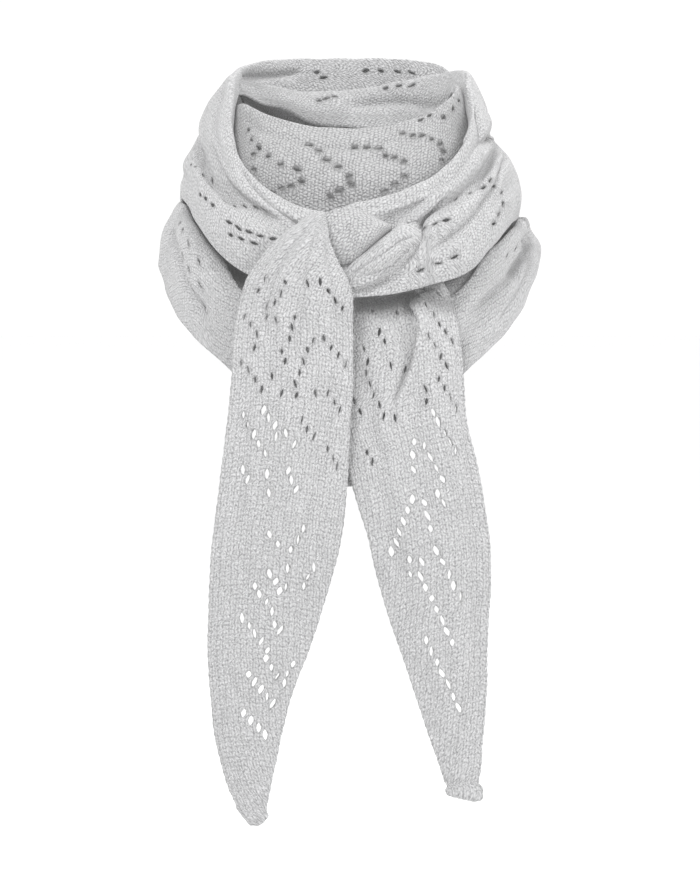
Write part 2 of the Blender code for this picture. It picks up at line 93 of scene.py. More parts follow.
Centre = namedtuple(
    "Centre",
    "angle lip_out lip_up rim_out rim_up throat_out throat_up tuck_out tuck_up valley_out valley_up"
    " ridge_out ridge_up flank_out flank_up hem_out hem_up",
)
CENTRE_SECTIONS = (
    Centre(-150, 23, -32, 26, -22, 30, -30, 33, -40, 35, -51, 38, -62, 40, -78, 40, -92),
    Centre(-130, 18, -10, 21, 0, 27, -14, 32, -28, 37, -44, 42, -60, 46, -82, 46, -104),
    Centre(-110, 6, 14, 10, 24, 20, 8, 28, -14, 38, -36, 49, -52, 57, -74, 56, -96),
    Centre(-90, 5, 21, 9, 31, 17, 16, 26, -8, 39, -38, 53, -47, 66, -67, 66, -84),
    Centre(-75, 4, 22, 7, 32, 17, 12, 28, -14, 40, -40, 54, -50, 68.5, -72, 67, -94),
    Centre(-60, 4, 18, 7, 28, 21, 2, 34, -28, 43, -50, 62, -56, 75, -84, 71, -114),
    Centre(-45, 6, 13, 9, 23, 30, -9, 42, -44, 52, -72, 76, -78, 84, -108, 79, -134),
    Centre(-30, 7, 7, 10, 17, 35, -15, 46, -56, 58, -90, 80, -114, 84, -142, 83, -161),
    Centre(-15, 8, 4, 11, 14, 37, -18, 49, -60, 58, -92, 66, -124, 68, -165, 68, -206),
    Centre(0, 9, 3, 12, 13, 38, -20, 49, -62, 56, -96, 60, -130, 64, -186, 65, -240),
    Centre(15, 8, 4, 11, 14, 37, -18, 49, -60, 58, -92, 65, -124, 68, -165, 68, -206),
    Centre(30, 8, 9, 11, 19, 36, -12, 46, -54, 58, -83, 80, -112, 84, -138, 84, -160),
    Centre(45, 7, 15, 10, 25, 31, -6, 42, -46, 53, -66, 71, -78, 80, -108, 77, -134),
    Centre(60, 5, 24, 8, 34, 22, 4, 34, -36, 44, -60, 61, -64, 71, -89, 67, -116),
    Centre(75, 3, 32, 6, 42, 17, 14, 28, -24, 41, -54, 57, -57, 67, -74, 64, -95),
    Centre(90, 1, 36, 4, 45, 15, 18, 26, -18, 40, -50, 57, -52, 67, -67, 64, -85),
    Centre(110, 6, 18, 9, 28, 24, -6, 36, -34, 44, -54, 57, -60, 65, -78, 62, -98),
    Centre(117, 40, -50, 43, -40, 49, -54, 54, -66, 57, -73, 61, -80, 63, -94, 61, -105),
    Centre(124.2, 47, -66, 50, -56, 55, -62, 58, -68, 60, -76, 61, -84, 62, -97, 60, -108),
)

Arm = namedtuple(
    "Arm",
    "angle edge_out edge_up crest_out crest_up shoulder_out shoulder_up groove_out groove_up"
    " belly_out belly_up skirt_out skirt_up hem_out hem_up",
)
LEFT_ARM_SECTIONS = (
    Arm(-235, 50, -56, 55, -62, 58, -68, 60, -76, 61, -84, 62, -97, 60, -108),
    Arm(-227, 46, 6, 50, 26, 54, 6, 59, -26, 63, -50, 65, -80, 61, -110),
    Arm(-217, 42, 38, 46, 60, 50, 42, 56, 10, 62, -28, 66, -71, 61, -112),
    Arm(-205, 40, 42, 43, 67, 48, 49, 52, 22, 59, -18, 65, -66, 61, -113),
    Arm(-180, 40, 44, 45, 69, 50, 50, 52, 24, 58, -12, 63, -62, 60, -112),
    Arm(-155, 37, 44, 41, 68, 46, 50, 48, 24, 55, -10, 61, -56, 59, -104),
    Arm(-130, 24, 46, 26, 63, 37, 46, 41, 22, 50, -6, 58, -42, 57, -82),
    Arm(-108, 9, 44, 14, 57, 33, 34, 39, 12, 47, -8, 54, -30, 57, -58),
    Arm(-90, 8, 39, 13, 51, 33, 26, 38, 7, 47, -10, 50, -23, 48, -34),
    Arm(-72, 14, 25, 17, 36, 34, 19, 38, 2, 48, -12, 53, -24, 53, -36),
    Arm(-58, 25, 9, 28, 19, 42, 8, 44, -8, 55, -18, 62, -30, 61, -43),
    Arm(-44, 39, -14, 42, -5, 54, -12, 56, -25, 67, -35, 76, -48, 75, -60),
    Arm(-32, 49, -31, 54, -22, 65, -29, 67, -41, 78, -52, 85, -68, 84, -81),
    Arm(-22, 55, -43, 60, -35, 70, -41, 72, -52, 81, -62, 87, -79, 86, -93),
    Arm(-13, 59, -51, 64, -43, 73, -49, 75, -58, 80, -67, 84, -82, 83, -97),
    Arm(-4, 63, -55, 67, -47, 74, -53, 76, -60, 78, -68, 80, -80, 79, -95),
)
RIGHT_ARM_SECTIONS = (
    Arm(-5, 60, -54, 65, -46, 72, -52, 75, -63, 82, -75, 88, -88, 90, -105),
    Arm(2, 62, -47, 67, -39, 73, -46, 76, -60, 84, -72, 91, -86, 92, -104),
    Arm(10, 60, -43, 66, -35, 75, -43, 75, -57, 85, -66, 93, -82, 93, -102),
    Arm(20, 57, -35, 63, -26, 75, -34, 73, -50, 85, -56, 94, -74, 94, -95),
    Arm(30, 49, -25, 56, -16, 69, -23, 67, -38, 81, -44, 90, -66, 89, -87),
    Arm(40, 42, -9, 50, 0, 61, -8, 58, -24, 71, -30, 80, -54, 77, -72),
    Arm(60, 25, 15, 28, 25, 39, 13, 38, -6, 52, -15, 60, -36, 58, -55),
    Arm(75, 13, 30, 16, 41, 30, 23, 31, 4, 45, -10, 53, -31, 51, -52),
    Arm(90, 8, 40, 12, 52, 25, 28, 28, 9, 42, -8, 50, -27, 49, -49),
    Arm(107, 4, 42, 16, 57, 28, 34, 29, 8, 42, -9, 50, -31, 50, -50),
    Arm(124, 3, 25, 22, 58, 32, 40, 35, 12, 41, -8, 46, -28, 47, -43),
    Arm(140, 5, 18, 23, 55, 34, 42, 34, 12, 37, -8, 40, -28, 42, -45),
    Arm(156, 3, 14, 20, 50, 32, 39, 33, 10, 34, -8, 38, -26, 41, -45),
    Arm(180, 1, 17, 19, 44, 30, 34, 32, 8, 33, -8, 34, -26, 35, -43),
    Arm(203, -1, 20, 17, 43, 25, 34, 29, 18, 30, 4, 32, -10, 33, -24),
    Arm(222, -3, 30, 8, 46, 15, 40, 18, 30, 20, 18, 22, 8, 24, -4),
    Arm(240, 1, 34, 5, 48, 10, 44, 12, 38, 13, 32, 13, 27, 13, 22),
    Arm(251, 3, 38, 7, 50, 10, 48, 11, 46, 11, 44, 11, 42, 11, 40),
    Arm(259, 6, 40, 10, 50, 12, 48, 12, 46, 12, 45, 12, 43, 12, 42),
    Arm(264, 10, 40, 13, 47, 14, 46, 14, 45, 14, 44, 14, 43, 14, 42),
)

# A fold raises (or, below zero, sinks) the cloth along a line from one angle to another. Its place
# across is counted in section points from the neck edge, and its depth is in millimetres.

Fold = namedtuple("Fold", "start end across_start across_end width depth")
CENTRE_FOLDS = (
    Fold(-95, -30, 6.3, 5.8, 0.45, -5),
    Fold(24, 105, 5.9, 5.6, 0.40, -9),
    Fold(30, 80, 6.5, 6.3, 0.35, 4),
    Fold(-48, 10, 1.5, 2.0, 0.35, 3),
    Fold(-20, 55, 2.4, 1.7, 0.35, 3),
    Fold(-70, -10, 7.0, 7.3, 0.45, 3),
)
LEFT_ARM_FOLDS = (
    Fold(-100, -30, 2.0, 2.0, 0.30, -2),
    Fold(-66, -18, 3.7, 4.2, 0.40, 3),
    Fold(-100, -40, 4.6, 5.2, 0.35, -4),
    Fold(-200, -100, 4.3, 3.5, 0.45, -8),
    Fold(-205, -118, 5.2, 4.9, 0.40, -7),
    Fold(-190, -130, 2.3, 2.8, 0.30, 4),
)
RIGHT_ARM_FOLDS = (
    Fold(4, 80, 4.9, 4.5, 0.30, -3),
    Fold(12, 60, 5.6, 5.4, 0.30, 3),
    Fold(20, 100, 1.6, 1.5, 0.30, -2),
    Fold(100, 165, 4.4, 3.7, 0.40, -4),
)

# A crease follows a line of points on the cloth. A groove sinks, a ridge rises, and a lap is the
# edge of a layer lying over the next, higher on the left of its line. Reach and depth are in
# millimetres. Points are angles and section points on a ring, millimetres across and up on a tail.

Crease = namedtuple("Crease", "kind reach depth points")
CENTRE_CREASES = (
    Crease("lap", 10, 6, ((-22, 4.9), (-34, 4.6), (-46, 4.4), (-58, 4.5), (-80, 4.6), (-88, 4.6))),
    Crease("lap", 9, 5, ((82, 4.7), (75, 4.7), (52, 4.8), (38, 4.7), (26, 4.7))),
    Crease("groove", 9, 16, ((-20, 3.9), (-34, 3.9), (-46, 4.0), (-58, 4.2), (-72, 4.3))),
    Crease("groove", 8, 12, ((72, 4.3), (60, 4.2), (46, 4.1), (32, 4.0), (20, 3.9))),
    Crease("groove", 3.5, 4, ((78, 5.8), (72, 5.9), (47, 5.8), (32, 5.4))),
    Crease("groove", 4, 5, ((-72, 5.4), (-66, 5.6), (-55, 5.8), (-46, 6.0), (-39, 6.0))),
    Crease("groove", 3, 6, ((80, 4.2), (78, 4.8), (76, 5.5), (67, 5.9), (53, 5.9))),
    Crease("groove", 3, 3, ((82, 5.4), (79, 5.8), (64, 6.2), (50, 6.3), (40, 6.5))),
    Crease("groove", 3, 2, ((-66, 1.3), (-44, 1.4), (-27, 1.4), (-13, 1.5), (0, 1.5), (24, 1.4))),
)
LEFT_ARM_CREASES = (
    Crease("groove", 3.4, 2, ((-98, 1.2), (-79, 1.4), (-62, 1.8), (-50, 1.9), (-38, 2.0))),
    Crease("groove", 2.2, 3.4, ((-40, 1.1), (-30, 1.5), (-22, 2.0), (-15, 2.6), (-9, 3.2))),
    Crease("groove", 3.4, 4.5, ((-60, 2.4), (-49, 2.6), (-39, 2.7), (-29, 2.7), (-18, 2.8))),
    Crease("groove", 4, 7, ((-104, 2.6), (-84, 3.0), (-66, 3.4), (-53, 3.4), (-44, 3.3), (-30, 3.1))),
    Crease("groove", 2.8, 5, ((-112, 0.4), (-130, 0.4), (-149, 0.42), (-162, 0.5))),
    Crease("lap", 14, 5, ((-116, 3.6), (-140, 3.2), (-165, 3.4), (-195, 3.1), (-222, 2.6))),
    Crease("groove", 7, 6, ((-122, 4.7), (-150, 4.2), (-175, 4.5), (-205, 5.0))),
    Crease("ridge", 9, 4, ((-130, 5.4), (-160, 5.1), (-190, 5.4), (-215, 5.6))),
    Crease("groove", 6, 4, ((-205, 3.8), (-185, 3.9), (-160, 3.8), (-140, 3.9))),
)
RIGHT_ARM_CREASES = (
    Crease(
        "lap",
        9,
        5.5,
        ((86, 3.0), (69, 2.7), (55, 2.4), (45, 2.2), (37, 2.2), (30, 2.2))
        + ((24, 2.3), (18, 2.6), (13, 2.9), (6, 3.4)),
    ),
    Crease("groove", 6, 5, ((60, 2.1), (45, 1.9), (30, 1.9), (18, 2.2), (8, 2.6))),
    Crease("groove", 2.6, 2, ((40, 1.3), (27, 1.5), (19, 1.6), (12, 1.7), (3, 1.8))),
    Crease("groove", 2.4, 8, ((14, 4.5), (17, 4.1), (19, 3.4), (22, 2.9), (27, 2.5))),
    Crease("lap", 8, 4.5, ((-2, 5.8), (5, 5.5), (11, 5.1), (15, 4.7), (17, 4.3), (18, 3.8))),
    Crease("groove", 2.8, 2, ((2, 5.8), (9, 5.5), (16, 5.35), (25, 5.25), (36, 4.7))),
    Crease("groove", 2.8, 3.6, ((78, 3.8), (69, 3.8), (49, 4.2), (37, 4.4), (28, 4.6), (17, 5.0))),
    Crease("ridge", 4, 3, ((63, 5.0), (45, 4.8), (36, 4.9), (29, 5.0), (22, 5.1))),
    Crease("groove", 4, 3, ((84, 3.3), (70, 3.2), (56, 3.3), (44, 3.5), (34, 3.8))),
    Crease("groove", 3, 3.4, ((104, 0.6), (80, 0.9), (69, 1.1), (59, 1.5), (50, 1.9))),
    Crease("groove", 4, 6, ((116, 0.3), (128, 0.3), (140, 0.36), (152, 0.5), (164, 0.55), (184, 0.5))),
)
LEFT_TAIL_CREASES = (
    Crease("groove", 3.4, 2.4, ((-24, -54), (-36, -65), (-47, -81), (-56, -103), (-60, -130))),
    Crease("groove", 3.0, 2.2, ((-21, -55), (-27, -72), (-32, -93), (-35, -120), (-38, -150))),
    Crease("groove", 2.6, 2.0, ((-17, -58), (-15, -80), (-12, -100), (-9, -130))),
    Crease("ridge", 4.0, 1.8, ((-30, -62), (-40, -80), (-47, -104), (-50, -135))),
    Crease("groove", 7.0, 2.0, ((-12, -150), (-16, -200), (-26, -250), (-36, -300))),
    Crease("groove", 6.0, 1.6, ((-70, -150), (-76, -210), (-74, -280), (-66, -340))),
    Crease("ridge", 8.0, 2.0, ((-40, -180), (-44, -240), (-52, -320), (-62, -400))),
)
RIGHT_TAIL_CREASES = (
    Crease("groove", 6, 13, ((-3, -108), (8, -107), (22, -106), (36, -103), (48, -99), (62, -95))),
    Crease("lap", 8, 5, ((38, -103), (46, -114), (49, -128), (46, -148), (38, -167), (31, -182))),
    Crease("groove", 6, 2.2, ((8, -150), (16, -200), (26, -260), (44, -330))),
    Crease("ridge", 7, 2.4, ((60, -150), (66, -220), (72, -300), (80, -400))),
    Crease("groove", 4, 2.0, ((74, -130), (82, -200), (88, -280), (90, -360))),
)
KNOT_BAND_CREASES = (Crease("groove", 1.6, 2, ((0, 0.4), (12, 0.42), (28, 0.45), (46, 0.5))),)

# Sections of the hanging stretches, from tip to top: the height, the left and right edges, how far
# back each edge lies, and how far the middle stands forward of them.

Hang = namedtuple("Hang", "up left right left_back right_back crown")
LEFT_TAIL_SECTIONS = (
    Hang(-482.4, -71, -66, -134, -134, 1),
    Hang(-481, -72.5, -63, -134, -134, 1),
    Hang(-478.5, -74.5, -60.5, -134, -134, 2),
    Hang(-475, -77.3, -58.2, -134, -134, 2),
    Hang(-472, -79.7, -59.8, -134, -134, 2),
    Hang(-465, -82, -58.9, -135, -135, 3),
    Hang(-457, -85.6, -57.5, -135, -135, 4),
    Hang(-440, -91, -54, -136, -136, 5),
    Hang(-412, -97, -48, -137, -137, 6),
    Hang(-386, -99, -41, -138, -138, 6),
    Hang(-354, -101, -29, -138, -138, 7),
    Hang(-320, -100, -18, -138, -138, 7),
    Hang(-284, -98, -8, -139, -139, 7),
    Hang(-236, -92, -2, -139, -140, 7),
    Hang(-196, -87, 0, -139, -142, 7),
    Hang(-158, -83, 2, -140, -145, 8),
    Hang(-128, -81, 2, -141, -149, 9),
    Hang(-106, -77, 2, -143, -155, 9),
    Hang(-91, -72, -2, -146, -157, 9),
    Hang(-76, -62, -10, -150, -157, 8),
    Hang(-64, -51, -14, -152, -157, 6),
    Hang(-54, -38, -16, -149.6, -152, 4),
    Hang(-46, -26, -17, -143, -149.8, 2),
)
RIGHT_TAIL_SECTIONS = (
    Hang(-465.3, 88, 92.5, -128, -128, 1),
    Hang(-464.2, 82, 94.3, -128, -128, 2),
    Hang(-463, 75.5, 94.8, -128, -128, 3),
    Hang(-461.6, 69.8, 95, -128, -128, 4),
    Hang(-458, 68.7, 94.9, -128, -128, 4),
    Hang(-455.6, 69.8, 94.4, -128, -128, 3),
    Hang(-453, 68.4, 92.2, -128, -128, 2),
    Hang(-447, 66.4, 92.8, -129, -129, 3),
    Hang(-439.6, 64, 93.7, -129, -129, 3),
    Hang(-420, 57, 95, -130, -130, 4),
    Hang(-392, 48, 97, -131, -131, 5),
    Hang(-348, 33, 98, -132, -131, 6),
    Hang(-303, 19, 100, -132, -131, 6),
    Hang(-276, 13, 99, -133, -131, 6),
    Hang(-250, 5, 95, -133, -131, 6),
    Hang(-222, -2, 90, -133, -131, 6),
    Hang(-196, -4, 84, -133, -131, 6),
    Hang(-166, -5, 81, -133, -130, 6),
    Hang(-143, -5, 79, -133, -130, 6),
    Hang(-122, -4, 75, -131, -127, 6),
    Hang(-111, -4, 73, -129, -125, 3),
    Hang(-99, 0, 68, -129, -124, 2),
    Hang(-86, 4, 60, -129, -123, 2),
    Hang(-78, 10, 52, -129, -123, 2),
)

# A pleat stands forward along a line down a hanging stretch. Its place and width are shares of
# the stretch's width, and its depth is in millimetres.

Pleat = namedtuple("Pleat", "top bottom across_top across_bottom width depth")
LEFT_TAIL_PLEATS = (
    Pleat(-46, -180, 0.30, 0.20, 0.10, 3),
    Pleat(-46, -230, 0.62, 0.48, 0.10, 3),
    Pleat(-60, -150, 0.85, 0.80, 0.07, 2),
    Pleat(-150, -420, 0.80, 0.55, 0.12, 2),
)
RIGHT_TAIL_PLEATS = (
    Pleat(-92, -240, 0.70, 0.66, 0.06, 6),
    Pleat(-92, -260, 0.84, 0.82, 0.13, 6),
    Pleat(-112, -210, 0.25, 0.30, 0.12, 2),
    Pleat(-180, -400, 0.40, 0.30, 0.12, 2),
)

# Sections of the knot, from left to right: the upper and lower edges, how far back each lies, and
# how far the middle stands forward of them.

Turn = namedtuple("Turn", "along top bottom top_back bottom_back crown")
KNOT_TURN_SECTIONS = (
    Turn(-20, -48, -66, -147.8, -149, 1),
    Turn(-10, -43, -81, -143, -149, 5),
    Turn(2, -43, -79, -138, -148, 10),
    Turn(14, -47, -69, -138, -147, 11),
    Turn(24, -52, -60.5, -139, -144, 6),
    Turn(29, -54, -57.5, -139, -141, 1),
)
KNOT_BAND_SECTIONS = (
    Turn(-5, -87, -99, -149, -147, 1),
    Turn(5, -78, -97, -150, -145.4, 4),
    Turn(16, -68.6, -91, -149, -146, 9),
    Turn(28, -59, -84, -146, -145, 12),
    Turn(37, -53, -76, -141, -144, 9),
    Turn(44, -55, -70, -139, -143, 4),
    Turn(50, -58, -65, -136, -138, 1),
)

# Runs of eyelets: where the first lies, the step from each to the next, and how many there are.

HangRun = namedtuple("HangRun", "across up step_across step_up count")
LEFT_TAIL_RUNS = (
    HangRun(-76, -187, 3.9, -6.9, 5),
    HangRun(-61, -183, 4.2, -5.6, 3),
    HangRun(-52, -202, 6.4, 2, 2),
    HangRun(-39, -208, 4.2, -5.6, 1),
    HangRun(-76, -226, 3.6, -6.4, 2),
    HangRun(-58, -229, 1.0, -13.0, 2),
    HangRun(-57, -272, 6.0, -5.6, 2),
    HangRun(-33, -268, -4.2, -7.0, 3),
    HangRun(-68, -309, 4.2, -5.6, 4),
    HangRun(-54, -335, 4.3, -5.2, 2),
    HangRun(-57, -299, 3.8, -6.2, 3),
    HangRun(-44, -296, -2.0, -13.0, 2),
    HangRun(-26, -295, -3.4, -6.8, 3),
    HangRun(-76, -331, 4.3, -5.7, 5),
    HangRun(-60, -360, 4.4, -6.2, 4),
    HangRun(-44, -371, 3.6, 5.4, 2),
    HangRun(-72, -371, 4.4, -5.6, 5),
    HangRun(-75, -399, 5.0, -5.7, 4),
    HangRun(-20.5, -93, 5.2, -6.3, 4),
    HangRun(-29, -94, -3, -8, 1),
    HangRun(-44.5, -93, -3.7, -7.4, 3),
    HangRun(-58.3, -110, 0.4, -8.6, 2),
    HangRun(-51, -119, 0, 0, 1),
    HangRun(-38, -117.6, -2, -7.5, 3),
    HangRun(-73, -117.6, 4.3, -6.4, 3),
    HangRun(-18, -132.5, 5, -6.4, 4),
    HangRun(-26.4, -133.6, -3, -7.7, 5),
    HangRun(-76.4, -149.6, 4.6, -6.4, 4),
    HangRun(-54.5, -159, 7, -13, 2),
    HangRun(-38, -173, 13.7, 1, 2),
    HangRun(-15.4, -171.4, 4.4, -6.2, 3),
    HangRun(-15.4, -211.5, 3, -6, 3),
    HangRun(-60, -92, -3, -7, 2),
    HangRun(-66, -140, -3, -7, 1),
    HangRun(-48, -142, 3, -7, 2),
    HangRun(-34, -190, 4, -6.4, 3),
    HangRun(-44, -226, 3.4, -6.6, 3),
)
RIGHT_TAIL_RUNS = (
    HangRun(16, -115, 17, -0.6, 2),
    HangRun(20, -129, 4.2, -7.0, 2),
    HangRun(10, -141, 2.8, -8.6, 2),
    HangRun(29, -153, 10, -2, 2),
    HangRun(11, -158, 3.2, -7.6, 5),
    HangRun(32, -190, -5, 2, 1),
    HangRun(3, -178, 3.6, -8.0, 2),
    HangRun(62, -103, 0, 0, 1),
    HangRun(53, -111, 4.6, -6.2, 6),
    HangRun(54, -132, 4.6, -7.0, 4),
    HangRun(62, -162, 4.4, -6.8, 4),
    HangRun(54, -169, 0, -9.4, 2),
    HangRun(58, -186, 4.2, -6.8, 5),
    HangRun(45, -207, 0, -9.4, 3),
    HangRun(53, -209, 4.0, -8.0, 4),
    HangRun(12, -214, 3.0, -7.2, 2),
    HangRun(62, -243, 4.4, -7.2, 2),
    HangRun(44, -248, -3.0, -7.6, 6),
    HangRun(53, -250, 2.0, -9.2, 3),
    HangRun(61, -284, 4.2, -8.4, 5),
    HangRun(42, -291, 8.6, -1, 2),
    HangRun(42, -301, 0, 0, 1),
    HangRun(50, -302, 3.8, -7.9, 7),
    HangRun(54, -349, 3.9, -7.9, 7),
)

# On a ring stretch a run starts at an angle, so far across as a share of the way to the hem.

RingRun = namedtuple("RingRun", "angle across step_angle step_across count")
CENTRE_RUNS = (
    RingRun(-53, 0.22, 6.8, 0.012, 6),
    RingRun(-41, 0.26, 1.5, 0.020, 3),
    RingRun(-31, 0.25, 3.0, 0.020, 2),
    RingRun(-17, 0.21, 4.2, 0.018, 5),
    RingRun(2, 0.21, 5.0, 0.004, 3),
    RingRun(14, 0.24, 3.0, 0.010, 3),
    RingRun(19, 0.30, -3.5, 0.016, 3),
    RingRun(0, 0.31, -3.2, 0.015, 3),
    RingRun(-17, 0.31, -3.7, 0.011, 4),
    RingRun(24, 0.19, 3.6, 0.012, 5),
    RingRun(38, 0.26, -2.0, 0.024, 2),
    RingRun(49, 0.18, 10.0, 0, 3),
    RingRun(36, 0.15, 6.0, -0.004, 2),
    RingRun(-64, 0.73, 6.5, 0, 4),
    RingRun(-59, 0.79, 5.5, 0, 4),
    RingRun(-52, 0.83, 5.0, 0.014, 3),
    RingRun(51, 0.75, 9.0, 0.015, 3),
)
LEFT_ARM_RUNS = (
    RingRun(-69, 0.66, 7.0, -0.025, 4),
    RingRun(-55, 0.60, 4.0, -0.050, 2),
    RingRun(-39, 0.58, 3.4, -0.042, 5),
    RingRun(-33, 0.69, 3.2, -0.004, 5),
    RingRun(-32, 0.76, 3.6, -0.010, 3),
    RingRun(-48, 0.72, 3.6, -0.020, 3),
    RingRun(-130, 0.42, 4.2, 0.030, 4),
    RingRun(-176, 0.30, 4.2, 0.030, 4),
    RingRun(-160, 0.62, 4.2, 0.030, 4),
    RingRun(-200, 0.56, 4.2, 0.030, 4),
    RingRun(-120, 0.66, 4.2, 0.030, 4),
    RingRun(-150, 0.42, 3.2, 0.024, 5),
    RingRun(-134, 0.54, 3.2, -0.024, 4),
    RingRun(-190, 0.68, 3.2, 0.024, 5),
    RingRun(-174, 0.80, 3.2, -0.024, 5),
    RingRun(-145, 0.76, 3.2, 0.024, 4),
    RingRun(-218, 0.42, 3.2, 0.024, 4),
    RingRun(-167, 0.08, -3.0, -0.020, 2),
    RingRun(-186, 0.09, -6.0, 0, 4),
)
RIGHT_ARM_RUNS = (
    RingRun(19, 0.66, 2.8, 0.010, 3),
    RingRun(31, 0.55, 5.0, 0.055, 3),
    RingRun(45, 0.66, 3.0, 0.050, 3),
    RingRun(17, 0.905, 4.2, -0.012, 3),
    RingRun(41, 0.84, 3.6, -0.020, 4),
    RingRun(64, 0.42, 4.2, 0.020, 3),
    RingRun(110, 0.56, 4.2, 0.030, 4),
    RingRun(90, 0.72, 4.2, 0.030, 4),
    RingRun(163, 0.15, -6.5, -0.008, 3),
    RingRun(196, 0.10, -4.0, 0.010, 3),
)


def eased(stations, values, at):
    """A curve through the values at the stations, read at each place, that never overshoots."""
    stations = np.asarray(stations, float)
    values = np.asarray(values, float)
    slopes = np.gradient(values, stations)
    rises = np.diff(values) / np.diff(stations)
    steepest = 3 * np.minimum(np.abs(rises[:-1]), np.abs(rises[1:])) * (rises[:-1] * rises[1:] > 0)
    slopes[1:-1] = np.clip(slopes[1:-1], -steepest, steepest)
    k = np.clip(np.searchsorted(stations, at) - 1, 0, len(stations) - 2)
    gap = stations[k + 1] - stations[k]
    f = (at - stations[k]) / gap
    return (
        values[k] * (1 + 2 * f) * (1 - f) ** 2
        + slopes[k] * gap * f * (1 - f) ** 2
        + values[k + 1] * f**2 * (3 - 2 * f)
        + slopes[k + 1] * gap * f**2 * (f - 1)
    )


def eased_across(points, at):
    """The same through a section's points, which differ from place to place along the cloth."""
    slopes = np.gradient(points, axis=0)
    k = np.clip(at.astype(int), 0, len(points) - 2)
    here = np.arange(len(at))
    f = at - k
    return (
        points[k, here] * (1 + 2 * f) * (1 - f) ** 2
        + slopes[k, here] * f * (1 - f) ** 2
        + points[k + 1, here] * f**2 * (3 - 2 * f)
        + slopes[k + 1, here] * f**2 * (f - 1)
    )


def bump(distance):
    return np.exp(-0.5 * distance**2)


def window(at, start, end):
    """0 outside start to end, rising smoothly to 1 between them."""
    share = np.clip((at - start) / (end - start), 0, 1)
    return np.sin(math.pi * share) ** 0.7


def around_neck(angle, out, up):
    turn = np.radians(angle)
    return np.stack(
        [
            (NECK_HALF_WIDTH + out * MM) * np.sin(turn),
            -(NECK_HALF_DEPTH + out * MM) * np.cos(turn),
            up * MM,
        ],
        axis=1,
    )


def ring_stretch(sections, folds):
    """A function from (share along, share across) to places on a stretch round the neck."""
    angles = [row.angle for row in sections]
    columns = sections[0]._fields[1:]
    outs = [name for name in columns if name.endswith("_out")]
    ups = [name for name in columns if name.endswith("_up")]

    def read(names, angle):
        return np.stack([eased(angles, [getattr(r, n) for r in sections], angle) for n in names])

    def place(along, across):
        angle = angles[0] + (angles[-1] - angles[0]) * along
        at = across * (len(outs) - 1)
        out, up = eased_across(read(outs, angle), at), eased_across(read(ups, angle), at)
        for fold in folds:
            share = np.clip((angle - fold.start) / (fold.end - fold.start), 0, 1)
            centre = fold.across_start + (fold.across_end - fold.across_start) * share
            rise = bump((at - centre) / fold.width) * window(angle, fold.start, fold.end)
            out = out + fold.depth * rise
        return around_neck(angle, out, up)

    return place


def ring_share(sections):
    """A function from (angle, section point) to (share along, share across)."""
    first, last = sections[0].angle, sections[-1].angle
    points = (len(sections[0]) - 1) // 2 - 1
    return lambda angle, at: ((angle - first) / (last - first), at / points)


def hanging_stretch(sections, pleats):
    """A function from (share along, share across) to places on a hanging stretch."""
    ups = [row.up for row in sections]

    def place(along, across):
        up = ups[0] + (ups[-1] - ups[0]) * along
        left, right, left_back, right_back, crown = (
            eased(ups, [getattr(row, name) for row in sections], up) for name in Hang._fields[1:]
        )
        forward = crown * (1 - (2 * across - 1) ** 2)
        for pleat in pleats:
            share = np.clip((pleat.top - up) / (pleat.top - pleat.bottom), 0, 1)
            centre = pleat.across_top + (pleat.across_bottom - pleat.across_top) * share
            fade = np.cos(0.5 * math.pi * share) * np.clip((pleat.top - up) / 12 + 0.4, 0, 1)
            forward = forward + pleat.depth * fade * bump((across - centre) / pleat.width)
        x = left + (right - left) * across
        y = left_back + (right_back - left_back) * across - forward
        return np.stack([x, y, up], axis=1) * MM

    return place


def hanging_share(sections):
    """A function from (millimetres across, millimetres up) to (share along, share across)."""
    ups = [row.up for row in sections]
    lefts = [row.left for row in sections]
    rights = [row.right for row in sections]

    def share(across, up):
        left, right = np.interp(up, ups, lefts), np.interp(up, ups, rights)
        return (up - ups[0]) / (ups[-1] - ups[0]), (across - left) / (right - left)

    return share


def knot_stretch(sections):
    """A function from (share along, share across) to places on a stretch of the knot."""
    xs = [row.along for row in sections]

    def place(along, across):
        x = xs[0] + (xs[-1] - xs[0]) * along
        top, bottom, top_back, bottom_back, crown = (
            eased(xs, [getattr(row, name) for row in sections], x) for name in Turn._fields[1:]
        )
        forward = crown * (1 - np.abs(2 * across - 1) ** 2.5)
        y = top_back + (bottom_back - top_back) * across - forward
        return np.stack([x, y, top + (bottom - top) * across], axis=1) * MM

    return place


def knot_share(sections):
    """A function from (millimetres along, share across) to (share along, share across)."""
    first, last = sections[0].along, sections[-1].along
    return lambda along, across: ((along - first) / (last - first), across)


def facing(place, along, across):
    """Places on the cloth and the directions it faces there, outward."""
    step = 0.002
    run = place(along + step, across) - place(along - step, across)
    fall = place(along, across + step) - place(along, across - step)
    normals = np.cross(fall, run)
    return place(along, across), normals / np.linalg.norm(normals, axis=1)[:, None]


def traced(place, share, points):
    """A crease's points as a smooth line on the cloth."""
    stations = np.arange(len(points))
    fine = np.linspace(0, len(points) - 1, 8 * (len(points) - 1) + 1)
    first = eased(stations, [p[0] for p in points], fine)
    second = eased(stations, [p[1] for p in points], fine)
    shares = np.array([share(a, b) for a, b in zip(first, second)])
    return place(shares[:, 0], shares[:, 1])


def profile(kind, distance, reach):
    """The height across a crease, from -1 to 1, at signed distances in millimetres."""
    if kind == "groove":
        return -np.exp(-((distance / reach) ** 2))
    if kind == "ridge":
        return np.exp(-((distance / reach) ** 2))
    over = np.clip(distance / 1.6 + 0.5, 0, 1)
    lap = over * over * (3 - 2 * over) * np.exp(-np.maximum(distance, 0) / reach)
    return lap - 0.5 * (1 - over) * np.exp(-((distance / (0.6 * reach)) ** 2))


